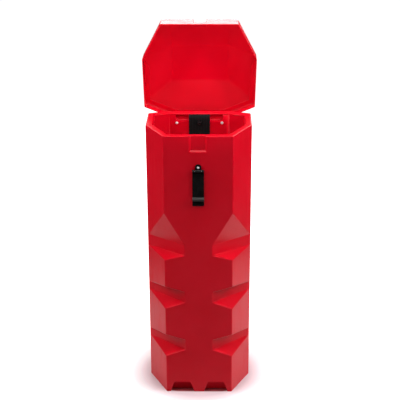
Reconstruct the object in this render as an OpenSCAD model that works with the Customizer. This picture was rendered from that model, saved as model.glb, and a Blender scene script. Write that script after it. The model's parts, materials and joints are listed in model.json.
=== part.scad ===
// Upright container for a large fire blanket: a double-walled body with grip notches,
// a cap-shaped lid hinged at the back, a rubber draw latch and the folded blanket inside.
// Origin: floor level, on the centre line. Front is -Y. The lid is drawn fully open.

/* [Container body] */
// Height of the body without its lid
body_h = 1065; // [1000:5:1150]
// Width across the two side walls
body_w = 400; // [390:2:410]
// Distance of the front face from the origin
front_y = 170; // [165:1:175]
// Distance of the back face from the origin
back_y = 160; // [156:1:162]
// Width of the flat front face
front_face_w = 257; // [250:1:262]
// Width of the flat back face
back_face_w = 240; // [230:2:250]
// Front end of the side walls, in front of the origin
side_front_y = 29; // [24:1:34]
// Back end of the side walls, behind the origin
side_back_y = 130; // [126:1:134]
// Thickness of every moulded skin of the body
skin = 4; // [3:0.5:5]
// Width of the flat rim at the front and the sides
rim_w = 25; // [23:1:27]
// Extra width of the rim at the back
back_rim_extra = 12; // [10:1:14]
// Thickness of the rim flange
rim_t = 5; // [4:0.5:6]
// Height of the liner's floor above the ground
floor_z = 60; // [55:1:70]

/* [Grip notches] */
// Height of the lowest notch's bottom corner
notch_z = 161; // [150:1:170]
// Distance from one notch to the next
notch_pitch = 207; // [200:1:210]
// Distance of a notch's inner end from the centre line
notch_tip_x = 52; // [48:1:60]
// Distance of a notch's outer end from the centre line
notch_side_x = 196.5; // [190:0.5:198]

/* [Front recess and feet] */
// Width of the recess under the rim
recess_w = 66; // [60:1:72]
// Height of the recess, which runs up through the rim
recess_h = 62; // [50:1:66]
// Depth of the recess
recess_d = 7; // [5:0.5:8]
// Width of a foot arch at the ground
arch_w = 94; // [80:1:96]
// Width of a foot arch at its top
arch_top_w = 62; // [50:1:70]
// Height of a foot arch
arch_h = 43; // [35:1:48]
// Distance of an arch's middle from the centre line
arch_x = 66; // [64:1:68]
// How far a foot arch reaches in under the body
arch_d = 26; // [20:1:34]

/* [Lid] */
// Height of the lid's rim above the ground when it is closed
lid_rim_z = 1003; // [1002:0.5:1004]
// Width across the lid's side walls, at their front ends
lid_w = 444; // [440:1:446]
// Width across the lid's side walls, at their back ends
lid_back_w = 434; // [432:1:436]
// Distance of the closed lid's front wall from the origin
lid_front_y = 190; // [189:0.5:191]
// Distance of the closed lid's back wall from the origin
lid_back_y = 182; // [181:0.5:183]
// Width of the lid's flat front wall
lid_front_face_w = 299; // [292:1:302]
// Width of the lid's flat back wall
lid_back_face_w = 214; // [210:1:220]
// Height of the lid's upright wall
lid_skirt_h = 92; // [88:1:96]
// Height of the lid over all
lid_h = 142; // [136:1:150]
// Wall thickness of the lid
lid_t = 3.5; // [3:0.5:4]
// Width of the catch pocket in the lid's front wall
pocket_w = 49; // [47:1:52]
// Depth of the catch pocket
pocket_d = 14; // [13:0.5:15]
// Height of the pocket's lower edge above the lid's rim
pocket_rise = 29.5; // [29:0.5:30]

/* [Hinge] */
// Hinge axis behind the origin
hinge_y = 191.5; // [191:0.5:192]
// Hinge axis above the ground
hinge_z = 1022.5; // [1022:0.5:1023]
// Width of the two hinge leaves
leaf_w = 196; // [190:1:200]
// Thickness of the hinge's sheet steel
leaf_t = 2.5; // [2:0.5:3]
// Width of the row of hinge knuckles
barrel_w = 180; // [176:1:180]
// Radius of the hinge pin
pin_r = 3; // [2.5:0.1:3.2]
// Distance of the outer hinge screws from the centre line
hinge_screw_x = 88; // [84:1:88]

/* [Latch] */
// Pivot of the latch above the ground
latch_z = 932.5; // [931:0.5:933]
// Pivot of the latch in front of the front face
latch_out = 8; // [7.5:0.5:8.5]
// Width of the rubber latch strap
latch_w = 43; // [39:1:44]
// Length of the latch strap below its pivot
latch_len = 137; // [134:1:140]
// Distance from the pivot to the hook's catching face
hook_len = 102; // [101:0.5:103]
// Angle that the latch turns through, from hanging to hooked
latch_swing = 169.5; // [165:0.5:169.5]

/* [Blanket and lift strap] */
// Height of the folded blanket
blanket_h = 862; // [800:2:870]
// Width of the folded blanket
blanket_w = 300; // [260:2:304]
// Thickness of one folded run of the blanket, of which seven stand side by side
blanket_run_t = 24; // [20:0.5:24]
// Width of the webbing lift strap
strap_w = 82; // [70:1:84]
// Thickness of the webbing
strap_t = 3; // [2:0.5:3]

/* [Hidden] */
$fn = 48;

eps = 0.2;                          // gap that keeps neighbouring solids apart
run = 0.05;                         // running clearance around a pin
over = 30;                          // how far a cutting tool reaches past the surface
hinge = [0, hinge_y, hinge_z];
latch = [0, -front_y - latch_out, latch_z];

body_red = [0.78, 0.04, 0.10];
steel = [0.75, 0.76, 0.78];
black_rubber = [0.06, 0.06, 0.07];
black_steel = [0.12, 0.12, 0.13];
webbing_black = [0.05, 0.05, 0.05];
cloth_grey = [0.72, 0.71, 0.66];

// ---------- outlines ----------

// Right half of an outline, front to back, joined to its mirror image
function both_sides(right) = concat(
    right, [for (i = [len(right) - 1:-1:0]) [-right[i][0], right[i][1]]]);

// Corner b of an outline a-b-c, moved outwards by d square to both of its sides
function moved_corner(a, b, c, d) =
    let (u = (b - a) / norm(b - a), v = (c - b) / norm(c - b))
    let (m = [u[1], -u[0]], n = [v[1], -v[0]])
    b + d * (m + n) / (1 + m * n);

// A closed outline grown by d on every side
function grown(p, d) = let (n = len(p))
    [for (i = [0:n - 1]) moved_corner(p[(i + n - 1) % n], p[i], p[(i + 1) % n], d)];

// Height at p of the plane through the three points a, b and c
function height_at(p, a, b, c) = let (n = cross(b - a, c - a))
    a[2] - (n[0] * (p[0] - a[0]) + n[1] * (p[1] - a[1])) / n[2];

// Upright distance between that plane and one that lies d away from it
function upright(d, a, b, c) = let (n = cross(b - a, c - a)) d * norm(n) / abs(n[2]);

// Point between p and q whose distance along direction n is d
function point_at(p, q, n, d) = p + (q - p) * (d - p * n) / ((q - p) * n);

body_outline = both_sides([
    [front_face_w / 2, -front_y], [body_w / 2, -side_front_y],
    [body_w / 2, side_back_y], [back_face_w / 2, back_y]]);
// Inside of the liner at the mouth
mouth = grown(both_sides([
    [front_face_w / 2, -front_y], [body_w / 2, -side_front_y],
    [body_w / 2, side_back_y - back_rim_extra], [back_face_w / 2, back_y - back_rim_extra]]), -rim_w);

// The upright inner wall of every notch runs from notch_tip to notch_side
corner = [front_face_w / 2, -front_y];
notch_tip = [notch_tip_x, -front_y];
side_share = (notch_side_x - corner[0]) / (body_w / 2 - corner[0]);
notch_side = [notch_side_x, -front_y + side_share * (front_y - side_front_y)];
notch_run = (notch_side - notch_tip) / norm(notch_side - notch_tip);
notch_out = [notch_run[1], -notch_run[0]];

// Inside of the liner below the notches' top: its front corners are cut off
liner_gap = 2;
cut_at = notch_tip * notch_out - 2 * skin - liner_gap;
narrow = both_sides([
    point_at([0, mouth[0][1]], mouth[0], notch_out, cut_at),
    point_at(mouth[0], mouth[1], notch_out, cut_at),
    mouth[1], mouth[2], mouth[3]]);
narrow_top_z = 660;
wide_bottom_z = 800;

lid_outline = both_sides([
    [lid_front_face_w / 2, -lid_front_y], [lid_w / 2, -52.5],
    [lid_back_w / 2, 137.5], [lid_back_face_w / 2, lid_back_y]]);
lid_top = both_sides([[114, -80], [114, 62]]);
lid_brow_w = 242;                   // width of the front bevel where it meets the front wall
lid_brow_h = 10;                    // how much higher the front wall is there

// ---------- small helpers ----------

module bar(low, high) { translate(low) cube(high - low); }

// Cylinder of radius r along X, from x0 to x1, with its axis through [y, z]
module rod_x(r, x0, x1, yz) {
    translate([x0, yz[0], yz[1]]) rotate([0, 90, 0]) cylinder(r = r, h = x1 - x0);
}

// Cylinder of radius r along Y, from y0 to y1, with its axis through [x, z]
module rod_y(r, y0, y1, xz) {
    translate([xz[0], y0, xz[1]]) rotate([-90, 0, 0]) cylinder(r = r, h = y1 - y0);
}

// Hexagon prism along Y, across the flats af
module hex_y(af, y0, y1, xz) {
    translate([xz[0], y0, xz[1]]) rotate([-90, 0, 0])
        cylinder(r = af / sqrt(3), h = y1 - y0, $fn = 6);
}

// Button head with its flat side at y0, rounded towards side (-1 is towards the front)
module button_head(r, h, y0, side, xz) {
    translate([xz[0], y0, xz[1]]) rotate([side * -90, 0, 0]) rotate_extrude()
        polygon([[0, 0], [r, 0], [r, h * 0.35], [r * 0.86, h * 0.75], [r * 0.55, h], [0, h]]);
}

module slab(points, z0, z1) { translate([0, 0, z0]) linear_extrude(z1 - z0) polygon(points); }

module mirrored_x() {
    children();
    mirror([1, 0, 0]) children();
}

// Turns what is drawn as closed about the hinge, to where it stands when open
module opened() { translate(hinge) rotate([-90, 0, 0]) translate(-hinge) children(); }

// ---------- body ----------

// One grip notch as a solid, its bottom corner at z. rises are the heights above z of
// [front corner, top of tip, bottom of tip, top of side, bottom of side]; e thickens it.
module notch_wedge(z, rises, e = 0) {
    up_tip = [notch_tip[0], notch_tip[1], z + rises[1]];
    up_side = [notch_side[0], notch_side[1], z + rises[3]];
    up_corner = [corner[0], corner[1], z + rises[0]];
    low_tip = [notch_tip[0], notch_tip[1], z + rises[2]];
    low_side = [notch_side[0], notch_side[1], z + rises[4]];
    low_corner = [corner[0], corner[1], z];
    plan = [
        notch_tip - over * notch_run - e * notch_out,
        notch_side + over * notch_run - e * notch_out,
        corner + 2 * over * notch_out];
    lift = upright(e, up_tip, up_side, up_corner);
    drop = upright(e, low_tip, low_side, low_corner);
    top = [for (p = plan) [p[0], p[1], height_at(p, up_tip, up_side, up_corner) + lift]];
    bottom = [for (p = plan) [p[0], p[1], height_at(p, low_tip, low_side, low_corner) - drop]];
    polyhedron(concat(bottom, top),
        [[2, 1, 0], [3, 4, 5], [1, 4, 3, 0], [2, 5, 4, 1], [0, 3, 5, 2]]);
}

grip_rises = [94, 70, 27, 54, 21];
top_grip_rises = [190, 59, 18, 50, 5];

module notches(e = 0) {
    mirrored_x() {
        notch_wedge(notch_z, grip_rises, e);
        notch_wedge(notch_z + notch_pitch, grip_rises, e);
        notch_wedge(notch_z + 2 * notch_pitch, top_grip_rises, e);
    }
}

recess_top_z = body_h;

// Front recess: a shallow tray with sloping borders, as wide as its depth
module recess_tool() {
    hull() {
        bar([-recess_w / 2, -front_y - 1, recess_top_z - recess_h],
            [recess_w / 2, -front_y, recess_top_z + 1]);
        bar([-recess_w / 2 + recess_d, -front_y - 1, recess_top_z - recess_h + recess_d],
            [recess_w / 2 - recess_d, -front_y + recess_d, recess_top_z + 1]);
    }
}

// Outline of one foot arch, grown by e
module arch_form(e = 0) {
    polygon([[-arch_w / 2 - e, -1], [arch_w / 2 + e, -1], [arch_top_w / 2 + e, arch_h + e],
             [-arch_top_w / 2 - e, arch_h + e]]);
}

// The foot arches at the front and at the back, as pockets that are open downwards
module foot_arches(e = 0) {
    mirrored_x() {
        translate([arch_x, arch_d + e - front_y, 0]) rotate([90, 0, 0])
            linear_extrude(arch_d + e + 1) arch_form(e);
        translate([arch_x, back_y + 1, 0]) rotate([90, 0, 0])
            linear_extrude(arch_d + e + 1) arch_form(e);
    }
}

hinge_screw_z = body_h - 38;
screw_r = 3;
screw_hole_r = 3.25;
hinge_screws = [[-hinge_screw_x, hinge_screw_z], [0, hinge_screw_z], [hinge_screw_x, hinge_screw_z]];
latch_rivet_at = [0, latch_z + 12.5];
rivet_r = 3.2;

// Space between the outer skin and the liner, open towards the ground
module shell_hollow() {
    difference() {
        slab(grown(body_outline, -skin), -1, body_h - rim_t);
        notches(skin);
        foot_arches(skin);
        bar([-recess_w / 2 - skin, -front_y, recess_top_z - recess_h - skin],
            [recess_w / 2 + skin, -front_y + recess_d + skin, body_h]);
    }
}

module outer_shell() {
    color(body_red) difference() {
        slab(body_outline, 0, body_h);
        shell_hollow();
        slab(mouth, body_h - rim_t - 1, body_h + 1);
        notches();
        recess_tool();
        foot_arches();
        for (p = hinge_screws) rod_y(screw_hole_r, back_y - skin - 1, back_y + 1, p);
        rod_y(rivet_r, -front_y - 1, -front_y + skin + 1, latch_rivet_at);
    }
}

// Shape of the liner grown by e, from z0 to z1
module liner_form(e, z0, z1) {
    slab(grown(narrow, e), z0, narrow_top_z);
    hull() {
        slab(grown(narrow, e), narrow_top_z - 0.1, narrow_top_z);
        slab(grown(mouth, e), wide_bottom_z, wide_bottom_z + 0.1);
    }
    slab(grown(mouth, e), wide_bottom_z, z1);
}

liner_back_y = back_y - back_rim_extra - rim_w;
slot_w = 184;                       // recess in the liner's back wall, under the rim
slot_h = 25.5;
slot_d = 12;
slot_top_z = body_h - rim_t - eps;
liner_top_z = body_h - rim_t - eps;
foot_r = 12;                        // solid posts that carry the liner's floor
feet = [[0, 0], [-110, -20], [110, -20], [-110, 80], [110, 80]];
lip_w = 6;
lip_t = 3;

module inner_liner() {
    color(body_red) difference() {
        union() {
            liner_form(skin, floor_z, liner_top_z);
            slab(grown(mouth, skin + lip_w), liner_top_z - lip_t, liner_top_z);
            bar([-slot_w / 2 - 3, liner_back_y, slot_top_z - slot_h - 3],
                [slot_w / 2 + 3, liner_back_y + slot_d + 3, slot_top_z]);
            for (p = hinge_screws) rod_y(9, liner_back_y, back_y - skin - eps, p);
            for (p = feet) translate(p) cylinder(r = foot_r, h = floor_z + 1);
        }
        liner_form(0, floor_z + skin, body_h + 1);
        bar([-slot_w / 2, liner_back_y - skin, slot_top_z - slot_h],
            [slot_w / 2, liner_back_y + slot_d, slot_top_z + 1]);
        for (p = hinge_screws) rod_y(screw_hole_r, liner_back_y - 1, back_y, p);
    }
}

// ---------- lid, drawn closed and then opened ----------

// Cap shape: upright wall, then bevels up to a flat top. e shrinks it inwards by that much.
module cap_form(e, z0) {
    hull() {
        slab(grown(lid_outline, -e), z0, lid_rim_z + lid_skirt_h - e);
        slab(grown(lid_top, -e / 2), lid_rim_z + lid_h - e - 1, lid_rim_z + lid_h - e);
        bar([-lid_brow_w / 2, -lid_front_y + e, lid_rim_z + lid_skirt_h],
            [lid_brow_w / 2, -lid_front_y + e + 1, lid_rim_z + lid_skirt_h + lid_brow_h - e]);
    }
}

lid_screw_x = 72;
lid_screw_z = 1056;
lid_screw_hole_r = 2.75;
hinge_cut_w = barrel_w + 14;
hinge_cut_z = hinge_z + 17.5;
pocket_z = lid_rim_z + pocket_rise;
seat_z = body_h + eps;
seat_t = 4;

// Inner ledge that rests on the body's rim at the sides and the back
seat_hole = both_sides([[lid_w / 2 - lid_t - 1, -lid_front_y], [lid_w / 2 - lid_t - 1, -44],
    [body_w / 2 - 3.5, 0], [body_w / 2 - 3.5, 124], [98, back_y + 4]]);

module seat_ledge() {
    difference() {
        slab(grown(lid_outline, -lid_t / 2), seat_z, seat_z + seat_t);
        slab(seat_hole, seat_z - 1, seat_z + seat_t + 1);
        bar([-lid_w, -lid_front_y - 1, seat_z - 1], [lid_w, -48, seat_z + seat_t + 1]);
    }
}

module lid_shell() {
    color(body_red) opened() difference() {
        union() {
            difference() {
                cap_form(0, lid_rim_z);
                cap_form(lid_t, lid_rim_z - 1);
            }
            seat_ledge();
            intersection() {
                cap_form(0, lid_rim_z);
                bar([-pocket_w / 2 - lid_t, -lid_front_y, pocket_z - lid_t],
                    [pocket_w / 2 + lid_t, -lid_front_y + pocket_d + lid_t, lid_rim_z + lid_h]);
            }
        }
        bar([-pocket_w / 2, -lid_front_y - 1, pocket_z],
            [pocket_w / 2, -lid_front_y + pocket_d, lid_rim_z + lid_h]);
        bar([-hinge_cut_w / 2, lid_back_y - lid_t - 3, lid_rim_z - 1],
            [hinge_cut_w / 2, lid_back_y + 1, hinge_cut_z]);
        for (x = [-lid_screw_x, 0, lid_screw_x])
            rod_y(lid_screw_hole_r, lid_back_y - lid_t - 1, lid_back_y + 1, [x, lid_screw_z]);
    }
}

// ---------- hinge ----------

knuckle_r = 6;
knuckle_w = barrel_w / 5;
knuckle_gap = 0.25;
body_knuckles = [-2, 0, 2];
lid_knuckles = [-1, 1];
shelf_z = hinge_z - knuckle_r;
stop_top_z = hinge_z + (hinge_y - lid_back_y - leaf_t) - eps;

module knuckle(i) {
    rod_x(knuckle_r, (i - 0.5) * knuckle_w + knuckle_gap, (i + 0.5) * knuckle_w - knuckle_gap,
        [hinge_y, hinge_z]);
}

module pin_bore() { rod_x(pin_r + run, -barrel_w, barrel_w, [hinge_y, hinge_z]); }

// Angle plate on the body's back face, with three knuckles and the stops for the open lid
module hinge_body_leaf() {
    shelf_w = barrel_w - 2 * knuckle_gap;
    color(steel) difference() {
        union() {
            bar([-leaf_w / 2, back_y, shelf_z], [leaf_w / 2, back_y + leaf_t, body_h - 17]);
            bar([-shelf_w / 2, back_y, shelf_z], [shelf_w / 2, back_y + 16, shelf_z + leaf_t]);
            for (i = body_knuckles) {
                x0 = (i - 0.5) * knuckle_w + knuckle_gap;
                x1 = (i + 0.5) * knuckle_w - knuckle_gap;
                knuckle(i);
                bar([x0, back_y, shelf_z], [x1, hinge_y + 12.5, shelf_z + leaf_t]);
                bar([x0, hinge_y + 8.5, shelf_z], [x1, hinge_y + 12.5, stop_top_z]);
            }
        }
        pin_bore();
        for (p = hinge_screws) rod_y(screw_hole_r, back_y - 1, back_y + leaf_t + 1, p);
    }
}

// Plate on the lid's back wall, with two knuckles
module hinge_lid_leaf() {
    plate_z = hinge_z + 8.5;
    color(steel) opened() difference() {
        union() {
            bar([-leaf_w / 2, lid_back_y, plate_z], [leaf_w / 2, lid_back_y + leaf_t, plate_z + 38]);
            for (i = lid_knuckles) {
                x0 = (i - 0.5) * knuckle_w + knuckle_gap;
                x1 = (i + 0.5) * knuckle_w - knuckle_gap;
                knuckle(i);
                bar([x0, lid_back_y, hinge_z + 2], [x1, hinge_y, plate_z]);
                bar([x0, lid_back_y, hinge_z + 2], [x1, lid_back_y + leaf_t, plate_z + 1]);
            }
        }
        pin_bore();
        for (x = [-lid_screw_x, 0, lid_screw_x])
            rod_y(lid_screw_hole_r, lid_back_y - 1, lid_back_y + leaf_t + 1, [x, lid_screw_z]);
    }
}

module hinge_pin() {
    end_x = barrel_w / 2 + eps;
    color(steel) union() {
        rod_x(pin_r, -end_x - 1, end_x + 1, [hinge_y, hinge_z]);
        mirrored_x() rod_x(pin_r + 1.5, end_x, end_x + 2, [hinge_y, hinge_z]);
    }
}

nut_t = 5;
washer_t = 1.2;
leaf_back_y = back_y + leaf_t;

// The two outer screws that hold the hinge; their heads are inside the container
module hinge_body_screws() {
    color(steel) for (p = [hinge_screws[0], hinge_screws[2]]) union() {
        button_head(5.25, 3.3, liner_back_y, -1, p);
        rod_y(screw_r, liner_back_y - 0.1, leaf_back_y + washer_t + nut_t + 1, p);
    }
}

module hinge_body_washers() {
    color(steel) for (p = hinge_screws) difference() {
        rod_y(6.2, leaf_back_y, leaf_back_y + washer_t, p);
        rod_y(screw_hole_r, leaf_back_y - 1, leaf_back_y + washer_t + 1, p);
    }
}

module hinge_body_nuts() {
    y0 = leaf_back_y + washer_t;
    color(steel) for (p = hinge_screws) difference() {
        hex_y(10, y0, y0 + nut_t, p);
        rod_y(screw_r + run, y0 - 1, y0 + nut_t + 1, p);
    }
}

lid_screw_r = 2.5;
lid_nut_t = 4;

module hinge_lid_screws() {
    inside_y = lid_back_y - lid_t - washer_t;
    color(steel) opened() for (x = [-lid_screw_x, 0, lid_screw_x]) union() {
        button_head(4.7, 2.7, inside_y, -1, [x, lid_screw_z]);
        rod_y(lid_screw_r, inside_y - 0.1, lid_back_y + leaf_t + lid_nut_t + 0.8, [x, lid_screw_z]);
    }
}

module hinge_lid_washers() {
    inside_y = lid_back_y - lid_t - washer_t;
    color(steel) opened() for (x = [-lid_screw_x, 0, lid_screw_x]) difference() {
        rod_y(7.5, inside_y, inside_y + washer_t, [x, lid_screw_z]);
        rod_y(lid_screw_hole_r, inside_y - 1, inside_y + washer_t + 1, [x, lid_screw_z]);
    }
}

module hinge_lid_nuts() {
    y0 = lid_back_y + leaf_t;
    color(steel) opened() for (x = [-lid_screw_x, 0, lid_screw_x]) difference() {
        hex_y(8, y0, y0 + lid_nut_t, [x, lid_screw_z]);
        rod_y(lid_screw_r + run, y0 - 1, y0 + lid_nut_t + 1, [x, lid_screw_z]);
    }
}

// ---------- latch ----------

latch_pin_r = 2.5;
bracket_t = 3;
bracket_w = 24;
bracket_top_r = 11.5;

// Plate with a rounded top, riveted to the front face, and one knuckle for the pin
module latch_bracket() {
    color(black_steel) difference() {
        union() {
            rod_y(bracket_top_r, -front_y - bracket_t, -front_y, [0, latch_z + 14]);
            bar([-bracket_top_r, -front_y - bracket_t, latch_z + 2],
                [bracket_top_r, -front_y, latch_z + 14]);
            bar([-bracket_w / 2, -front_y - bracket_t, latch_z - 7],
                [bracket_w / 2, -front_y, latch_z + 4]);
            rod_x(5.5, -bracket_w / 2, bracket_w / 2, [latch[1], latch_z]);
            bar([-bracket_w / 2, latch[1], latch_z - 4.5], [bracket_w / 2, -front_y, latch_z + 4.5]);
        }
        rod_x(latch_pin_r + run, -bracket_w, bracket_w, [latch[1], latch_z]);
        rod_y(rivet_r, -front_y - bracket_t - 1, -front_y + 1, latch_rivet_at);
    }
}

// Blind rivet: domed head outside, spread end inside the hollow wall
module latch_rivet() {
    color(steel) union() {
        button_head(4.6, 2.6, -front_y - bracket_t, -1, latch_rivet_at);
        rod_y(rivet_r - run, -front_y - bracket_t - 0.1, -front_y + skin + 0.1, latch_rivet_at);
        rod_y(5, -front_y + skin, -front_y + skin + 3.5, latch_rivet_at);
    }
}

module latch_pin() {
    color(steel) rod_x(latch_pin_r, -latch_w / 2 + 2, latch_w / 2 - 2, [latch[1], latch_z]);
}

strap_back = 6.5;                   // back face of the latch strap, behind its pivot
strap_front = 0.5;                  // front face, behind the pivot
hook_out = 12;                      // hook's reach in front of the pivot
hook_h = 13.6;

// Side view of the hanging strap, as [distance behind the pivot, height above it]
latch_profile = [
    [strap_back, 0], [strap_back, 4 - latch_len], [strap_back - 2, -latch_len],
    [strap_front + 1.5, -latch_len], [strap_front, 3 - latch_len],
    [strap_front, -hook_len - hook_h], [-7, -hook_len - hook_h],
    [-hook_out + 0.5, -hook_len - hook_h + 3], [-hook_out, -hook_len - 3],
    [3 - hook_out, -hook_len], [strap_front, -hook_len], [strap_front, 0]];

module latch_strap() {
    lug_x = bracket_w / 2 + 0.5;
    color(black_rubber) translate(latch) difference() {
        union() {
            rotate([90, 0, 90]) linear_extrude(latch_w, center = true) polygon(latch_profile);
            rod_x(6, -latch_w / 2, latch_w / 2, [0, 0]);
            bar([-3, -1, -hook_len - 1], [3, strap_front + 1, -hook_len + 44]);
        }
        bar([-lug_x, -10, -8.5], [lug_x, 10, 10]);
        rod_x(latch_pin_r + run, -latch_w, latch_w, [0, 0]);
    }
}

// ---------- lift strap and blanket ----------

strap_back_y = liner_back_y - eps;
strap_front_y = mouth[0][1] + eps;
strap_floor_z = floor_z + skin + eps;
strap_top_z = body_h - 3;
strap_end_z = 965;

// Webbing screwed to the back wall; it runs down, under the blanket and up its front
module lift_strap() {
    half = strap_w / 2;
    color(webbing_black) difference() {
        union() {
            bar([-half, strap_back_y - strap_t, strap_floor_z], [half, strap_back_y, strap_top_z]);
            bar([-half, strap_front_y, strap_floor_z],
                [half, strap_back_y, strap_floor_z + strap_t]);
            bar([-half, strap_front_y, strap_floor_z], [half, strap_front_y + strap_t, strap_end_z]);
            bar([-half, strap_front_y, strap_end_z - 70],
                [half, strap_front_y + 2 * strap_t, strap_end_z]);
        }
        rod_y(screw_hole_r, strap_back_y - strap_t - 1, strap_back_y + 1, hinge_screws[1]);
    }
}

strap_face_y = strap_back_y - strap_t;

module strap_washer() {
    color(black_steel) difference() {
        rod_y(9, strap_face_y - washer_t, strap_face_y, hinge_screws[1]);
        rod_y(screw_hole_r, strap_face_y - 3, strap_face_y + 1, hinge_screws[1]);
    }
}

// Middle screw: it holds the lift strap and the hinge
module strap_screw() {
    color(black_steel) union() {
        button_head(5.25, 3.3, strap_face_y - washer_t, -1, hinge_screws[1]);
        rod_y(screw_r, strap_face_y - washer_t - 0.1, leaf_back_y + washer_t + nut_t + 1,
            hinge_screws[1]);
    }
}

blanket_z = strap_floor_z + strap_t + eps;
blanket_back_y = 108;               // rear face of the folded blanket
blanket_runs = 7;

// The blanket is folded to its width, then folded up and down in upright runs. Each pair of
// runs is joined by a round fold, by turns at the top and at the bottom, from the back on.
module fire_blanket() {
    t = blanket_run_t;
    low_z = blanket_z + t;
    high_z = blanket_z + blanket_h - t;
    back = blanket_back_y;
    front = back - blanket_runs * t;
    half = blanket_w / 2;
    color(cloth_grey) union() {
        bar([-half, front, low_z], [half, back, high_z]);
        for (i = [0:2:blanket_runs - 3]) {
            rod_x(t - 0.01, -half, half, [back - (i + 1) * t, high_z]);
            rod_x(t - 0.01, -half, half, [back - (i + 2) * t, low_z]);
        }
        bar([-half, back - t, blanket_z], [half, back, low_z + 1]);
        bar([-half, front, high_z - 1], [half, front + t, high_z + t - 3]);
    }
}

handle_w = 45;
handle_t = 6;

// Two webbing loops, folded flat on top of the blanket
module blanket_handles() {
    top_z = blanket_z + blanket_h + eps;
    color(webbing_black) mirrored_x()
        bar([85 - handle_w / 2, -45, top_z], [85 + handle_w / 2, 90, top_z + handle_t]);
}

outer_shell();
inner_liner();
lid_shell();
hinge_body_leaf();
hinge_lid_leaf();
hinge_pin();
hinge_body_screws();
hinge_body_washers();
hinge_body_nuts();
hinge_lid_screws();
hinge_lid_washers();
hinge_lid_nuts();
latch_bracket();
latch_rivet();
latch_pin();
latch_strap();
strap_screw();
strap_washer();
lift_strap();
fire_blanket();
blanket_handles();
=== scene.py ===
import json
import math

import bmesh
import bpy
import numpy as np
from mathutils import Matrix, Vector, noise


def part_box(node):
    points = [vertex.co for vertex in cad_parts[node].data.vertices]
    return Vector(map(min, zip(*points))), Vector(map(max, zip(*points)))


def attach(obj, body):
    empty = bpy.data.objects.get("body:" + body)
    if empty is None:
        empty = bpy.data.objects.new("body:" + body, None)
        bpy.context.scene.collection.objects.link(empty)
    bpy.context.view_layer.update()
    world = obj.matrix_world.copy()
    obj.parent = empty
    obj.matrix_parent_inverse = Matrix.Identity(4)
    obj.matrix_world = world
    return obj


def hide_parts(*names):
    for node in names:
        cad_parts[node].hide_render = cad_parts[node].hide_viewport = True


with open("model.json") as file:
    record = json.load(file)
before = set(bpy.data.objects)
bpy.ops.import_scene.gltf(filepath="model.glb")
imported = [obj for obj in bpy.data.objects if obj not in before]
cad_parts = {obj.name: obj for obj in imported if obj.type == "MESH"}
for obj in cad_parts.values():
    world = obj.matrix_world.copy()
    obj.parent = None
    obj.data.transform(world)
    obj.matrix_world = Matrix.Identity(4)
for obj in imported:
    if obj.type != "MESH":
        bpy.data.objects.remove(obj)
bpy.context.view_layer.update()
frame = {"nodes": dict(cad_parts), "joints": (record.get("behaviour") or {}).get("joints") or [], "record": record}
scene = bpy.context.scene
nodes = frame["nodes"]
joints = {j["name"]: j for j in frame["joints"]}

body_lo, body_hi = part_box("outer_shell")
lid_lo, lid_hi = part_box("lid_shell")
blanket_lo, blanket_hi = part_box("fire_blanket")
strap_lo, strap_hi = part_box("lift_strap")
handle_lo, handle_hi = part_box("blanket_handles")
RIM_Z = body_hi.z
HINGE_Y, HINGE_Z = joints["lid_hinge"]["pos_m"][1:]
LATCH_Y, LATCH_Z = joints["latch_pivot"]["pos_m"][1:]


# ---------------------------------------------------------------- camera

CAMERA_AT = (0.07123, -3.67339, 2.16661)
CAMERA_YAW = -0.0185            # radians to the right of +Y
CAMERA_PITCH = 0.36743          # radians below the horizon
CAMERA_ROLL = -0.00426
LENS_MM = 91.32
SENSOR_MM = 36


def make_camera():
    """The camera faces the front and looks down at it, from above the open lid."""
    yaw, pitch, roll = CAMERA_YAW, CAMERA_PITCH, CAMERA_ROLL
    ahead = Vector(
        (math.sin(yaw) * math.cos(pitch), math.cos(yaw) * math.cos(pitch), -math.sin(pitch))
    )
    flat_right = Vector((math.cos(yaw), -math.sin(yaw), 0))
    flat_up = flat_right.cross(ahead)
    right = math.cos(roll) * flat_right + math.sin(roll) * flat_up
    up = math.cos(roll) * flat_up - math.sin(roll) * flat_right
    data = bpy.data.cameras.new("camera")
    data.lens = LENS_MM
    data.sensor_width = SENSOR_MM
    data.clip_end = 60
    cam = bpy.data.objects.new("camera", data)
    scene.collection.objects.link(cam)
    turn = Matrix((right, up, -ahead)).transposed().to_4x4()
    cam.matrix_world = Matrix.Translation(CAMERA_AT) @ turn
    scene.camera = cam


# ---------------------------------------------------------------- materials


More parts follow.
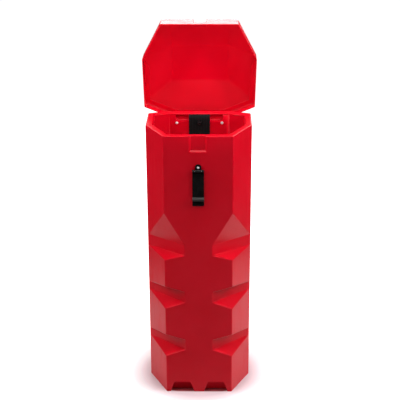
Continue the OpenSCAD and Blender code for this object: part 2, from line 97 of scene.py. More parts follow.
class Nodes:
    """A small builder of node trees."""

    def __init__(self, name):
        self.mat = bpy.data.materials.new(name)
        self.mat.use_nodes = True
        self.tree = self.mat.node_tree
        self.tree.nodes.clear()
        self.out = self.add("ShaderNodeOutputMaterial")
        self.bsdf = self.add("ShaderNodeBsdfPrincipled")
        self.link(self.bsdf, "BSDF", self.out, "Surface")
        self.coords = self.add("ShaderNodeTexCoord")

    def add(self, kind, **props):
        n = self.tree.nodes.new(kind)
        for k, v in props.items():
            setattr(n, k, v)
        return n

    def link(self, a, out, b, into):
        self.tree.links.new(a.outputs[out], b.inputs[into])

    def place(self, scale, turn):
        m = self.add("ShaderNodeMapping")
        m.inputs["Scale"].default_value = scale
        m.inputs["Rotation"].default_value = turn
        self.link(self.coords, "Object", m, "Vector")
        return m

    def noise(self, scale, detail=3.0, rough=0.5, stretch=(1, 1, 1), turn=(0, 0, 0)):
        n = self.add("ShaderNodeTexNoise")
        n.inputs["Scale"].default_value = scale
        n.inputs["Detail"].default_value = detail
        n.inputs["Roughness"].default_value = rough
        self.link(self.place(stretch, turn), "Vector", n, "Vector")
        return n

    def wave(self, scale, stretch=(1, 1, 1), distortion=0.0, direction="X"):
        n = self.add("ShaderNodeTexWave", bands_direction=direction)
        n.inputs["Scale"].default_value = scale
        n.inputs["Distortion"].default_value = distortion
        self.link(self.place(stretch, (0, 0, 0)), "Vector", n, "Vector")
        return n

    def coordinate(self, axis):
        """The socket with a point's X, Y or Z."""
        n = self.add("ShaderNodeSeparateXYZ")
        self.link(self.coords, "Object", n, "Vector")
        return n.outputs[axis]

    def distance_from(self, point):
        n = self.add("ShaderNodeVectorMath", operation="DISTANCE")
        self.link(self.coords, "Object", n, 0)
        n.inputs[1].default_value = point
        return n

    @staticmethod
    def number(source):
        """The output of a node that carries its number. A socket stands for itself."""
        if isinstance(source, bpy.types.NodeSocket):
            return source
        return next(source.outputs[k] for k in ("Fac", "Value", "Result") if k in source.outputs)

    @staticmethod
    def tint(source):
        """The output of a node that carries its colour."""
        return source.outputs[2 if source.bl_idname == "ShaderNodeMix" else 0]

    def span(self, source, low, high, to_low=0.0, to_high=1.0):
        """Maps low to high onto to_low to to_high, and holds the ends."""
        n = self.add("ShaderNodeMapRange")
        n.inputs["From Min"].default_value = low
        n.inputs["From Max"].default_value = high
        n.inputs["To Min"].default_value = to_low
        n.inputs["To Max"].default_value = to_high
        self.tree.links.new(self.number(source), n.inputs["Value"])
        return n

    def maths(self, op, a, b):
        n = self.add("ShaderNodeMath", operation=op)
        for i, v in enumerate((a, b)):
            if isinstance(v, (int, float)):
                n.inputs[i].default_value = v
            else:
                self.tree.links.new(self.number(v), n.inputs[i])
        return n

    def mix(self, share, a, b):
        """Colour a where share is 0, b where it is 1."""
        n = self.add("ShaderNodeMix", data_type="RGBA")
        self.tree.links.new(self.number(share), n.inputs[0])
        for i, v in ((6, a), (7, b)):
            if isinstance(v, tuple):
                n.inputs[i].default_value = (*v, 1)
            else:
                self.tree.links.new(self.tint(v), n.inputs[i])
        return n

    def colour(self, source):
        self.tree.links.new(self.tint(source), self.bsdf.inputs["Base Color"])

    def bump(self, height, strength, distance, below=None):
        n = self.add("ShaderNodeBump")
        n.inputs["Strength"].default_value = strength
        n.inputs["Distance"].default_value = distance
        self.tree.links.new(self.number(height), n.inputs["Height"])
        if below is not None:
            self.link(below, "Normal", n, "Normal")
        self.link(n, "Normal", self.bsdf, "Normal")
        return n

    def rough(self, source):
        self.tree.links.new(self.number(source), self.bsdf.inputs["Roughness"])

    def put(self, **values):
        for k, v in values.items():
            self.bsdf.inputs[k.replace("_", " ")].default_value = v


def times(tone, factor, plus=0.0):
    return tuple(c * factor + plus for c in tone)


def moulded_plastic(name, dark, light, rough=0.33):
    """Glossy polyethylene: cloudy pigment, orange peel, slight waviness and paler scuffs."""
    n = Nodes(name)
    cloud = n.noise(7, detail=5, rough=0.6)
    tone = n.mix(n.span(cloud, 0.3, 0.7), dark, light)
    scuff = n.noise(34, detail=6, rough=0.72, stretch=(1, 1, 0.22), turn=(0.2, 0.3, 0))
    pale = (light[0], light[1] + 0.008, light[2] + 0.010)
    n.colour(n.mix(n.span(scuff, 0.63, 0.78, 0.0, 0.16), tone, pale))
    clouded = n.span(cloud, 0.25, 0.75, rough - 0.04, rough + 0.05)
    n.rough(n.maths("ADD", clouded, n.span(scuff, 0.52, 0.78, 0.0, 0.2)))
    waves = n.bump(n.noise(11, detail=2, rough=0.4), 0.10, 0.004)
    peel = n.bump(n.noise(420, detail=2), 0.07, 0.0006, waves)
    n.bump(n.noise(1500, detail=2, rough=0.6), 0.10, 0.0002, peel)
    n.put(Specular_IOR_Level=0.26, IOR=1.5)
    return n.mat


def brushed_steel(name, tone, rough=0.3):
    """Steel with hairlines along X and darker stains."""
    n = Nodes(name)
    hair = n.noise(900, detail=4, rough=0.7, stretch=(0.03, 1, 1))
    stain = n.noise(60, detail=4, rough=0.6)
    n.colour(n.mix(n.span(stain, 0.35, 0.7), tone, times(tone, 0.72)))
    brushed = n.span(hair, 0.3, 0.7, rough - 0.08, rough + 0.08)
    n.rough(n.maths("ADD", brushed, n.span(stain, 0.5, 0.8, 0, 0.15)))
    n.bump(hair, 0.18, 0.0002)
    n.put(Metallic=1.0)
    return n.mat


def zinc(name, tone):
    """Zinc plating, satin, with faint clouds, near-white and barely metallic: its brightness is partly the
    plating's and partly a painted highlight.
    """
    n = Nodes(name)
    cloud = n.noise(240)
    n.colour(n.mix(n.span(cloud, 0.35, 0.7), tone, times(tone, 0.86)))
    n.rough(n.span(cloud, 0.3, 0.7, 0.34, 0.5))
    n.put(Metallic=0.25)
    return n.mat


def painted_steel(name, tone, rough):
    """Paint with faint blotches and a fine grain."""
    n = Nodes(name)
    blotch = n.noise(90, detail=4, rough=0.6)
    n.colour(n.mix(n.span(blotch, 0.35, 0.7), tone, times(tone, 1.6, 0.004)))
    n.rough(n.span(blotch, 0.3, 0.7, rough - 0.07, rough + 0.1))
    n.bump(n.noise(1400, rough=0.6), 0.2, 0.0002)
    n.put(Metallic=0.3, Specular_IOR_Level=0.5)
    return n.mat


def moulded_rubber(name, tone, hook_glint, glint_from, glint_to, rough=0.5):
    """Matt rubber with bloom and a fine grain, and a painted highlight: paler between two heights."""
    n = Nodes(name)
    height = n.coordinate("Z")
    soft = 0.001                # half the width of the painted highlight band's edges
    above = n.span(height, glint_from - soft, glint_from + soft)
    below = n.span(height, glint_to - soft, glint_to + soft, 1.0, 0.0)
    bloom = n.noise(70, detail=5, rough=0.65)
    bloomed = n.mix(n.span(bloom, 0.4, 0.75), tone, times(tone, 2.0, 0.003))
    # painted highlight: the band between the two heights is paler
    n.colour(n.mix(n.maths("MULTIPLY", above, below), bloomed, hook_glint))
    n.rough(n.span(bloom, 0.3, 0.75, rough - 0.08, rough + 0.14))
    dents = n.bump(n.noise(160, detail=2), 0.12, 0.0006)
    n.bump(n.noise(1300, rough=0.6), 0.25, 0.0003, dents)
    n.put(Specular_IOR_Level=0.2)
    return n.mat


def webbing(name, tone):
    """Heavy polyester webbing: ribs along the strap, with yarns across them, and fuzz."""
    n = Nodes(name)
    ribs = n.wave(52, stretch=(1, 0, 0))
    picks_z = n.wave(70, stretch=(0.35, 1, 1), distortion=0.4, direction="Z")
    picks_y = n.wave(70, stretch=(0.35, 1, 1), distortion=0.4, direction="Y")
    yarn = n.maths("MULTIPLY", n.maths("MAXIMUM", picks_z, picks_y), ribs)
    height = n.maths("ADD", yarn, n.maths("MULTIPLY", n.noise(1600, rough=0.7), 0.35))
    # painted shade: the weave is coloured darker where it is low and lighter where it is high
    n.colour(n.mix(n.span(height, 0.1, 1.1), times(tone, 0.45), times(tone, 1.7)))
    n.rough(n.span(height, 0.0, 1.2, 0.8, 0.55))
    n.bump(height, 0.8, 0.0007)
    n.put(Sheen_Weight=0.02, Sheen_Roughness=0.4, Specular_IOR_Level=0.12)
    return n.mat


def glass_cloth(name, dark, light):
    """Coated woven glass cloth: a fine plain weave under a satin coating, with slubs and soiling."""
    n = Nodes(name)
    warp = n.wave(210, stretch=(1, 0, 0), distortion=0.15)
    weft = n.wave(210, stretch=(0, 0.7, 0.7), distortion=0.15, direction="DIAGONAL")
    weave = n.maths("MULTIPLY", warp, weft)
    soil = n.noise(16, detail=6, rough=0.65)
    slub = n.noise(260, rough=0.6, stretch=(0.15, 1, 1))
    tone = n.mix(n.span(soil, 0.3, 0.72), light, dark)
    n.colour(n.mix(n.span(slub, 0.55, 0.8, 0, 0.35), tone, times(dark, 0.8)))
    n.rough(n.span(soil, 0.3, 0.7, 0.48, 0.66))
    creases = n.bump(soil, 0.2, 0.003)
    n.bump(n.maths("ADD", weave, n.maths("MULTIPLY", slub, 0.6)), 0.5, 0.0005, creases)
    n.put(Sheen_Weight=0.15, Specular_IOR_Level=0.45)
    return n.mat


def thread(name, tone):
    """Twisted sewing thread."""
    n = Nodes(name)
    twist = n.wave(600, distortion=1.0, direction="DIAGONAL")
    # painted shade: the twist is coloured darker where it is low
    n.colour(n.mix(n.span(twist, 0.2, 0.8), times(tone, 0.6), tone))
    n.bump(twist, 0.5, 0.0002)
    n.put(Roughness=0.6, Sheen_Weight=0.2)
    return n.mat


HOOK_LOW, HOOK_TOP = LATCH_Z - 0.114, LATCH_Z - 0.1005      # the latch's hook, where a pale band is painted as its highlight

MATERIAL_OF = {
    "red_plastic": moulded_plastic("red_plastic", (0.74, 0.0, 0.012), (0.80, 0.0004, 0.016)),
    "stainless": brushed_steel("stainless", (0.62, 0.63, 0.65)),
    "black_steel": painted_steel("black_steel", (0.006, 0.006, 0.007), rough=0.35),
    # the pale colour is a painted highlight band on the latch's hook
    "black_rubber": moulded_rubber(
        "black_rubber", (0.004, 0.004, 0.0042), (0.05, 0.047, 0.045), HOOK_LOW, HOOK_TOP
    ),
    "black_webbing": webbing("black_webbing", (0.007, 0.007, 0.0075)),
    "fire_cloth": glass_cloth("fire_cloth", (0.42, 0.41, 0.36), (0.62, 0.61, 0.55)),
}
# zinc made near-white as a painted highlight on the rivet and screw heads
bright_zinc = zinc("bright_zinc", (0.93, 0.90, 0.90))
seam_thread = thread("seam_thread", (0.03, 0.03, 0.03))
SLOT_OF = {s["node"]: s["material_slot"] for s in frame["record"]["subparts"]}


def dress(o, mat):
    if not o.data.materials:
        o.data.materials.append(mat)
    for s in o.material_slots:
        s.material = mat


for name, o in nodes.items():
    dress(o, MATERIAL_OF[SLOT_OF[name]])
# the rivet and screw heads get zinc with a painted highlight, so they show as bright dots
for name in ("latch_rivet", "hinge_body_screws"):
    dress(nodes[name], bright_zinc)


# ---------------------------------------------------------------- mesh helpers

BEVEL_MAX = 0.012       # bevel width at weight 1
FLATTEST = 12.0         # degrees; flatter edges belong to a curve and aren't rounded


def new_object(name, mesh, body, slot, mat=None):
    """A smooth piece on a body, in its slot's material or in mat."""
    o = bpy.data.objects.new(name, mesh)
    scene.collection.objects.link(o)
    mesh.materials.append(mat or MATERIAL_OF[slot])
    mesh.shade_smooth()
    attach(o, body)
    return o


def mesh_from(bm, name):
    mesh = bpy.data.meshes.new(name)
    bm.to_mesh(mesh)
    bm.free()
    return mesh


def apply_modifiers(o):
    dg = bpy.context.evaluated_depsgraph_get()
    made = bpy.data.meshes.new_from_object(o.evaluated_get(dg))
    o.modifiers.clear()
    old, o.data = o.data, made
    bpy.data.meshes.remove(old)


def cleaned(node):
    """The node's surface as flat faces: doubles merged and flat neighbours joined."""
    bm = bmesh.new()
    bm.from_mesh(nodes[node].data)
    bmesh.ops.remove_doubles(bm, verts=bm.verts, dist=2e-6)
    flat = math.radians(0.6)
    bmesh.ops.dissolve_limit(
        bm, angle_limit=flat, verts=bm.verts, edges=bm.edges, use_dissolve_boundaries=False
    )
    return bm


def rounded(name, node, body, radius_of):
    """A copy of a moulded node with its edges rounded. radius_of(edge, angle) gives each radius."""
    bm = cleaned(node)
    layer = bm.edges.layers.float.new("bevel_weight_edge")
    for e in bm.edges:
        if len(e.link_faces) != 2:
            continue
        angle = math.degrees(e.calc_face_angle(0.0))
        if angle < FLATTEST:
            continue
        # the bevel's width is measured along the faces, so it grows with the angle
        width = radius_of(e, angle) * math.tan(math.radians(angle) / 2)
        e[layer] = min(1.0, width / BEVEL_MAX)
    o = new_object(name, mesh_from(bm, name), body, SLOT_OF[node])
    m = o.modifiers.new("round", "BEVEL")
    m.width = BEVEL_MAX
    m.segments = 3
    m.limit_method = "WEIGHT"
    m.use_clamp_overlap = False
    m.harden_normals = False
    w = o.modifiers.new("normals", "WEIGHTED_NORMAL")
    w.keep_sharp = False
    w.weight = 80
    apply_modifiers(o)
    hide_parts(node)


def is_bore(e, angle, longest=0.004):
    """Short steep edges are the facets of a screw or pin hole, which stays sharp."""
    return e.calc_length() < longest and angle > 60


# ---------------------------------------------------------------- moulded pieces

# radii of the body's edges, in metres; a fillet is inside a corner
RIM_R, MOUTH_R = 0.0042, 0.003                      # outer and inner edge of the rim
RECESS_R, RECESS_FILLET = 0.0045, 0.003
NOTCH_R, NOTCH_END_R, NOTCH_FILLET = 0.0045, 0.005, 0.0016
ARCH_R = 0.0018
BASE_R = 0.001
CORNER_R = 0.006

# how far the body's features reach, each with a small margin
RECESS_HALF, RECESS_DEPTH, RECESS_FALL = 0.036, 0.009, 0.065
NOTCH_DEPTH = 0.07
ARCH_HALF, ARCH_TOP = 0.12, 0.05
TOUCH = 1e-4            # a point this near a plane lies on it
OUTLINE_TOUCH = 2e-4    # and this near the body's outline


def points_at(node, z):
    return [v.co for v in nodes[node].data.vertices if abs(v.co.z - z) < 1e-5]


half_w = body_hi.x
front = body_lo.y
back = body_hi.y
top_points = points_at("outer_shell", RIM_Z)
front_half = max(p.x for p in top_points if abs(p.y - front) < TOUCH)
back_half = max(p.x for p in top_points if abs(p.y - back) < TOUCH)
side_front = min(p.y for p in top_points if abs(p.x - half_w) < TOUCH)
side_back = max(p.y for p in top_points if abs(p.x - half_w) < TOUCH)
CHAMFER_OUT = Vector((side_front - front, front_half - half_w, 0)).normalized()


def depth_in(co):
    """How far a point is inside the body's eight-sided outline, 0 on it."""
    x, y = abs(co.x), co.y
    gaps = [y - front, back - y, half_w - x]
    for (ax, ay), (bx, by) in (
        ((front_half, front), (half_w, side_front)),
        ((half_w, side_back), (back_half, back)),
    ):
        ux, uy = bx - ax, by - ay
        gaps.append(((y - ay) * ux - (x - ax) * uy) / math.hypot(ux, uy))
    return min(gaps)


def is_outer_face(f):
    """True for a face on the outside of the body, notches included, told by its place and normal."""
    c, n = f.calc_center_median(), f.normal
    depth = depth_in(c)
    if depth < OUTLINE_TOUCH:
        return True
    side = math.copysign(1, c.x)
    to_corner = Vector((side, -1, 0)).normalized()
    if depth >= NOTCH_DEPTH or n.y >= 0.35 or n.dot(to_corner) <= -0.45:
        return False
    slanted = abs(n.z) > 0.1
    return slanted or n.dot(Vector((side * CHAMFER_OUT.x, CHAMFER_OUT.y, 0))) > 0.9


def body_radius(e, angle):
    if is_bore(e, angle):
        return 0.0
    a, b = (v.co for v in e.verts)
    mid = (a + b) / 2
    on_outline = depth_in(a) < OUTLINE_TOUCH and depth_in(b) < OUTLINE_TOUCH
    if min(a.z, b.z) > RIM_Z - TOUCH:
        return RIM_R if on_outline else MOUTH_R
    if abs(mid.x) < RECESS_HALF and mid.y < front + RECESS_DEPTH and mid.z > RIM_Z - RECESS_FALL:
        return RECESS_R if e.is_convex else RECESS_FILLET
    if max(a.z, b.z) < TOUCH:
        return BASE_R if on_outline else 0.0
    if on_outline and max(a.z, b.z) < ARCH_TOP and abs(mid.x) < ARCH_HALF:
        return ARCH_R
    near_notch = mid.y < 0 and depth_in(mid) < NOTCH_DEPTH and depth_in(a) < NOTCH_DEPTH + 0.0005
    if near_notch and all(is_outer_face(f) for f in e.link_faces):
        if not e.is_convex:
            return NOTCH_FILLET
        return NOTCH_END_R if on_outline else NOTCH_R
    return CORNER_R if on_outline else 0.0


def liner_radius(e, angle):
    """Fillets inside the liner, tight on the upright edges at the back."""
    if is_bore(e, angle) or e.is_convex:
        return 0.0
    a, b = (v.co for v in e.verts)
    upright = abs(a.z - b.z) > 0.3
    return 0.002 if upright and a.y > 0.05 else 0.009


LEDGE_Y = HINGE_Y + RIM_Z - HINGE_Z     # the lid's inner ledge, which lies on the rim when closed
LID_HEART = Vector((0, lid_lo.y + 0.05, (lid_lo.z + lid_hi.z) / 2))


def lid_radius(e, angle):
    """The lid stands open, so its opening faces the front and its top faces the back."""
    if is_bore(e, angle):
        return 0.0
    a, b = (v.co for v in e.verts)
    mid = (a + b) / 2
    near, far = min(a.y, b.y), max(a.y, b.y)
    at_edge = far < lid_lo.y + TOUCH
    at_ledge = near > LEDGE_Y - 0.001 and far < LEDGE_Y + 0.0055
    at_pocket = abs(mid.x) < 0.030 and mid.z > lid_hi.z - 0.022
    at_hinge = abs(mid.x) < 0.1 and mid.y < HINGE_Y + 0.02 and mid.z < HINGE_Z + 0.03
    if at_edge:
        return 0.0011
    if at_ledge:
        return 0.0012 if e.is_convex else 0.0
    if at_pocket:
        return 0.0015 if e.is_convex else 0.002
    if at_hinge:
        return 0.0
    outward = [f.normal.dot(f.calc_center_median() - LID_HEART) > 0 for f in e.link_faces]
    if all(outward) and e.is_convex:
        return 0.007
    if not any(outward) and not e.is_convex:
        return 0.030 if angle < 50 else 0.008
    return 0.0


def latch_radius(e, angle):
    """The latch strap's edges, but not its pin bore or the flat steps of its curves."""
    a = e.verts[0].co
    pin_bore = math.hypot(a.y - LATCH_Y, a.z - LATCH_Z) < 0.0028
    if angle < 25 or pin_bore or is_bore(e, angle, longest=0.003):
        return 0.0
    return 0.0011


rounded("body_skin", "outer_shell", "container", body_radius)
rounded("liner_skin", "inner_liner", "container", liner_radius)
rounded("lid_skin", "lid_shell", "lid", lid_radius)
rounded("latch_rubber", "latch_strap", "latch", latch_radius)


# ---------------------------------------------------------------- webbing

EDGE_SHARE = 0.35       # webbing's thickness at its very edge, as a share of the full one
RIB_DEPTH = 0.00012
STITCH_LONG, STITCH_THICK, STITCH_PITCH = 0.0032, 0.0009, 0.0046


def ribbon(name, path, width, thick, body, centre_x=0.0, columns=28):
    """Webbing along a line of (y, z) points: ribbed faces, full round edges."""
    pts = [Vector((0, *p)) for p in path]
    bm = bmesh.new()
    rings = []
    for i, p in enumerate(pts):
        along = (pts[min(i + 1, len(pts) - 1)] - pts[max(i - 1, 0)]).normalized()
        out = Vector((0, -along.z, along.y))
        ring = []
        for side in (1, -1):
            for c in range(columns + 1):
                u = c / columns if side == 1 else 1 - c / columns
                edge = min(1, min(u, 1 - u) * width / thick)
                h = thick / 2 * min(1.0, math.sqrt(1 - (1 - edge) ** 2) + EDGE_SHARE)
                if 0 < c < columns and c % 2:
                    h -= RIB_DEPTH
                x = centre_x + (u - 0.5) * width
                ring.append(bm.verts.new(p + Vector((x, 0, 0)) + out * side * h))
        rings.append(ring)
    n = len(rings[0])
    for a, b in zip(rings, rings[1:]):
        for k in range(n):
            bm.faces.new((a[k], a[(k + 1) % n], b[(k + 1) % n], b[k]))
    bm.faces.new(rings[0][::-1])
    bm.faces.new(rings[-1])
    bmesh.ops.recalc_face_normals(bm, faces=bm.faces)
    return new_object(name, mesh_from(bm, name), body, "black_webbing")


def line(a, b, step):
    """Points from a to b, b left out."""
    n = max(1, int((Vector(b) - Vector(a)).length / step))
    return [tuple(Vector(a).lerp(Vector(b), i / n)) for i in range(n)]


def arc(centre, r, start, end, n=6):
    """Points round a centre from start to end, in degrees, the end left out."""
    turns = [math.radians(start + (end - start) * i / n) for i in range(n)]
    return [(centre[0] + r * math.cos(t), centre[1] + r * math.sin(t)) for t in turns]


def stitches(name, lines, body):
    """Short raised thread ends along each line."""
    bm = bmesh.new()
    size = Matrix.Diagonal((STITCH_LONG, STITCH_THICK, STITCH_THICK, 1))
    for a, b in lines:
        a, b = Vector(a), Vector(b)
        run = b - a
        count = max(1, int(run.length / STITCH_PITCH))
        turn = run.to_track_quat("X", "Z").to_matrix().to_4x4()
        for i in range(count):
            at = a + run * ((i + 0.5) / count)
            m = Matrix.Translation(at) @ turn @ size
            bmesh.ops.create_icosphere(bm, subdivisions=1, radius=0.5, matrix=m)
    new_object(name, mesh_from(bm, name), body, "black_webbing", seam_thread)


def stitch_box(name, body, x, half, low, high, level, upright):
    """A sewn box with a cross in it. It stands at y = level and is upright, or lies at z = level."""
    c = [
        (x + dx, level, v) if upright else (x + dx, v, level)
        for dx, v in ((-half, low), (half, low), (half, high), (-half, high))
    ]
    runs = [(c[0], c[1]), (c[1], c[2]), (c[2], c[3]), (c[3], c[0]), (c[0], c[2]), (c[1], c[3])]
    stitches(name, runs, body)


def make_lift_strap():
    """Down the back wall, under the blanket, up its front, and doubled back at the end."""
    width, thick = strap_hi.x - strap_lo.x, 0.003
    rear, ahead = strap_hi.y - thick / 2, strap_lo.y + thick / 2
    low, rear_top = strap_lo.z + thick / 2, strap_hi.z
    end_top = max(v.co.z for v in nodes["lift_strap"].data.vertices if v.co.y < -0.1)
    r = 0.006               # bends at the floor
    gap = 0.0032            # from the front run to its doubled end
    fold = end_top - gap
    step = 0.02
    path = (
        line((rear, rear_top), (rear, low + r), step)
        + arc((rear - r, low + r), r, 0, -90)
        + line((rear - r, low), (ahead + r, low), step)
        + arc((ahead + r, low + r), r, 270, 180)
        + line((ahead, low + r), (ahead, fold), step)
        + arc((ahead + gap / 2, fold), gap / 2, 180, 0)
        + line((ahead + gap, fold), (ahead + gap, end_top - 0.068), step)
        + [(ahead + gap, end_top - 0.070)]
    )
    strap = ribbon("lift_webbing", path, width, thick, "container")
    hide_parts("lift_strap")
    sewn, sewn_low, sewn_high = ahead + gap + thick / 2, end_top - 0.064, end_top - 0.030
    stitch_box("lift_stitching", "container", 0.0, width * 0.40, sewn_low, sewn_high, sewn, True)


def make_handles():
    """Two webbing loops sewn to the blanket's top."""
    xs = sorted({round(abs(v.co.x), 5) for v in nodes["blanket_handles"].data.vertices})
    width, centre = xs[-1] - xs[0], (xs[-1] + xs[0]) / 2
    y0, y1 = handle_lo.y, handle_hi.y
    thick, r = 0.002, 0.0019
    low = handle_lo.z + thick / 2
    hump, steps = 0.0085, 16
    path = line((y0 + r, low), (y1 - r, low), 0.01) + arc((y1 - r, low + r), r, -90, 90)
    for i in range(steps + 1):
        u = i / steps
        y = (y1 - r) + (y0 + r - y1 + r) * u
        rise = math.sin(math.pi * min(1, max(0, (u - 0.18) / 0.64))) ** 2
        path.append((y, low + 2 * r + hump * rise))
    sewn = low + 2 * r + thick / 2 + 0.0001
    ends = (("front", y0 + 0.004, y0 + 0.022), ("back", y1 - 0.022, y1 - 0.004))
    for hand, x in (("right", centre), ("left", -centre)):
        loop = ribbon("handle_" + hand, path, width, thick, "blanket", centre_x=x, columns=16)
        if hand == "right":
            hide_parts("blanket_handles")
        for end, lo, hi in ends:
            name = "handle_stitch_%s_%s" % (hand, end)
            stitch_box(name, "blanket", x, width * 0.36, lo, hi, sewn, False)


# ---------------------------------------------------------------- blanket

RUNS = 7                # upright runs of the folded stack
LAYERS = 27             # layers across each run
RUN_STEPS = 10          # steps along a run
BEND_STEPS = 9          # steps round a bend
COLUMNS = 7             # points across a layer
SLACK = 0.006           # how far a layer's fold may stay behind the stack's edge


def smooth_noise(x, y, z, scale, seed):
    return noise.noise(Vector((x * scale + seed, y * scale - seed, z * scale + 2 * seed)))


def stack_stations(thick, low, high):
    """The stack's course: (y of the run's rear face or the bend's centre, z, way, angle).

    way is 1 on an upward run and on the bend above it, else -1. angle is None on a run.
    """
    stations = []
    for i in range(RUNS):
        way = 1 if i % 2 == 0 else -1
        rear = blanket_hi.y - i * thick
        start, turn_z = (low, high) if way == 1 else (high, low)
        if i == 0:
            start = blanket_lo.z + 0.001
        end = blanket_hi.z - 0.004 if i == RUNS - 1 else turn_z
        for k in range(RUN_STEPS + 1):
            stations.append((rear, start + (end - start) * k / RUN_STEPS, way, None))
        if i < RUNS - 1:
            for k in range(1, BEND_STEPS):
                stations.append((rear - thick, turn_z, way, math.pi * k / BEND_STEPS))
    return stations


def layer_at(station, n, thick):
    """The (y, z) of the layer at depth n in a run that is thick deep."""
    y, z, way, angle = station
    if angle is None:
        return (y - n if way == 1 else y - thick + n), z
    r = thick - n if way == 1 else n
    return y + r * math.cos(angle), z + way * r * math.sin(angle) * 0.97


def make_blanket():
    """The 6 m x 8 m cloth: folded across to the pack's width, then up and down in seven runs."""
    thick = (blanket_hi.y - blanket_lo.y) / RUNS
    half = (blanket_hi.x - blanket_lo.x) / 2 - 0.001
    low, high = blanket_lo.z + thick, blanket_hi.z - thick
    stations = stack_stations(thick, low, high)
    slack = np.random.default_rng(11).uniform(0.0, SLACK, (LAYERS, 2))
    verts = []
    for station in stations:
        for lay in range(LAYERS):
            y, z = layer_at(station, (lay + 0.5) / LAYERS * thick, thick)
            xs = np.linspace(-half + slack[lay, 0], half - slack[lay, 1], COLUMNS)
            if lay % 2:
                xs = xs[::-1]
            for x in xs:
                dx = 0.0025 * smooth_noise(x * 0.3, y * 4, z, 12, 1.3)
                dy = 0.0022 * smooth_noise(x, y * 1.5, z * 0.7, 9, 3.1)
                dz = -0.0016 * abs(smooth_noise(x, y, z, 14, 7.7)) if z > high else 0.0
                verts.append((x + dx, y + dy, z + dz))
    ring = LAYERS * COLUMNS
    faces = []
    for i in range(len(stations) - 1):
        for a in range(i * ring, (i + 1) * ring - 1):
            faces.append((a, a + 1, a + 1 + ring, a + ring))
    mesh = bpy.data.meshes.new("folded_blanket")
    mesh.from_pydata(verts, [], faces)
    mesh.update()
    o = new_object("folded_blanket", mesh, "blanket", "fire_cloth")
    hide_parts("fire_blanket")


make_lift_strap()
make_blanket()
make_handles()


# ---------------------------------------------------------------- stage

WHITE = (1, 1, 1, 1)
DARK_ROOM, BACKDROP = 0.02, 1.1     # the world's strength as light and as the camera sees it


def grey(level):
    return (level, level, level)


def add_light(data, at, to):
    o = bpy.data.objects.new(data.name, data)
    scene.collection.objects.link(o)
    o.location = at
    o.rotation_mode = "QUATERNION"
    o.rotation_quaternion = (Vector(to) - Vector(at)).to_track_quat("-Z", "Y")
    o.visible_camera = False
    return o


def area_light(name, at, to, size, power, shiny=True, matt=True):
    """A soft box. shiny: it shows in reflections. matt: it lights matt surfaces."""
    data = bpy.data.lights.new(name, "AREA")
    data.shape = "RECTANGLE"
    data.size, data.size_y = size
    data.energy = power
    o = add_light(data, at, to)
    o.visible_glossy = shiny
    o.visible_diffuse = matt


def spot_light(name, at, to, angle, power):
    """A narrow soft beam that doesn't show in reflections."""
    data = bpy.data.lights.new(name, "SPOT")
    data.energy = power
    data.spot_size = math.radians(angle)
    data.spot_blend = 0.2
    data.shadow_soft_size = 0.12
    o = add_light(data, at, to)
    o.visible_glossy = False


def floor_paper():
    """The camera sees white paper, with a painted pinkish shadow close to the object and painted dark red shade
    under the front arches.

    Reflections meet a bright floor only beside and behind the object; bounced light meets an even grey floor.
    """
    n = Nodes("floor_paper")
    ray = n.add("ShaderNodeLightPath")
    by_camera, by_gloss = ray.outputs["Is Camera Ray"], ray.outputs["Is Glossy Ray"]
    y = n.coordinate("Y")
    close = n.distance_from((0, 0, 0))

    paper = n.mix(n.span(n.noise(3, detail=2), 0.3, 0.7), grey(0.93), grey(0.95))
    # painted shadow: the paper is tinted pinkish grey close to the object
    paper = n.mix(n.span(close, 0.2, 0.34), (0.82, 0.68, 0.72), paper)
    # painted shade: the floor under the front arches is coloured dark red
    behind_front = n.span(y, front - 0.003, front + 0.005)
    before_wall = n.span(y, front + 0.05, front + 0.04)
    arches = n.maths("MULTIPLY", behind_front, before_wall)
    under = n.maths("MULTIPLY", arches, n.span(close, 0.19, 0.2, 1.0, 0.0))
    paper = n.mix(under, paper, (0.42, 0.08, 0.09))

    around = n.span(n.distance_from((0.12, 0.35, 0)), 0.7, 1.3, 1.0, 0.0)
    lit = n.maths("MULTIPLY", around, n.span(y, -0.4, -0.15))
    unseen = n.mix(by_gloss, grey(0.55), n.mix(lit, grey(0.02), grey(0.95)))
    n.colour(n.mix(by_camera, unseen, paper))
    glow = n.maths("MULTIPLY", by_camera, n.span(close, 0.2, 0.4))
    n.tree.links.new(n.number(glow), n.bsdf.inputs["Emission Strength"])
    n.put(Roughness=0.85, Emission_Color=WHITE, Specular_IOR_Level=0.1)
    return n.mat


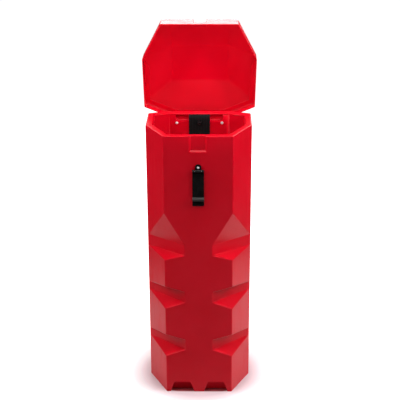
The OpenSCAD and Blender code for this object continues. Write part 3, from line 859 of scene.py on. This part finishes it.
def make_floor():
    mesh = bpy.data.meshes.new("floor")
    r = 14
    mesh.from_pydata([(-r, -r, 0), (r, -r, 0), (r, r, 0), (-r, r, 0)], [], [(0, 1, 2, 3)])
    mesh.materials.append(floor_paper())
    floor = bpy.data.objects.new("floor", mesh)
    scene.collection.objects.link(floor)
    floor.location.z = -0.0005


def make_world():
    """A dark studio in front of a white backdrop."""
    world = bpy.data.worlds.new("studio")
    scene.world = world
    world.use_nodes = True
    tree = world.node_tree
    bg = tree.nodes["Background"]
    bg.inputs["Color"].default_value = WHITE
    ray = tree.nodes.new("ShaderNodeLightPath")
    level = tree.nodes.new("ShaderNodeMapRange")
    level.inputs["To Min"].default_value = DARK_ROOM
    level.inputs["To Max"].default_value = BACKDROP
    tree.links.new(ray.outputs["Is Camera Ray"], level.inputs["Value"])
    tree.links.new(level.outputs["Result"], bg.inputs["Strength"])


def make_lights():
    """Boxes behind, above and at both sides, fills without reflections, and a spot on the lid."""
    area_light("back_box", (0, 3.4, 2.7), (0, 0, 1.2), (4.2, 2.2), 150, matt=False)
    area_light("rear_fill", (0.4, 3.2, 1.8), (0, 0, 0.6), (2.6, 1.6), 72, shiny=False)
    area_light("key_box", (0.2, -2.6, 3.1), (0, -0.1, 0.8), (0.9, 0.7), 4, shiny=False)
    area_light("top_box", (0.15, -1.0, 3.3), (0, 0.1, 1.2), (1.2, 1.0), 16)
    area_light("over_box", (0, 0, 3.4), (0, 0, 1), (0.8, 0.8), 12, shiny=False)
    area_light("right_box", (2.3, -0.3, 2.5), (0, 0, 0.5), (0.8, 1.8), 54)
    area_light("left_box", (-2.3, -0.3, 2.5), (0, 0, 0.5), (0.8, 1.8), 40)
    area_light("right_graze", (1.8, -1.25, 2.3), (0, 0, 0.8), (0.3, 0.3), 13)
    area_light("left_graze", (-1.8, -1.25, 2.3), (0, 0, 0.8), (0.3, 0.3), 11)
    spot_light("lid_spot", (0.15, -3.3, 1.5), (0, 0.3, 1.31), 9.2, 232)


make_camera()
make_floor()
make_world()
make_lights()
scene.view_settings.view_transform = "Standard"
scene.view_settings.look = "None"
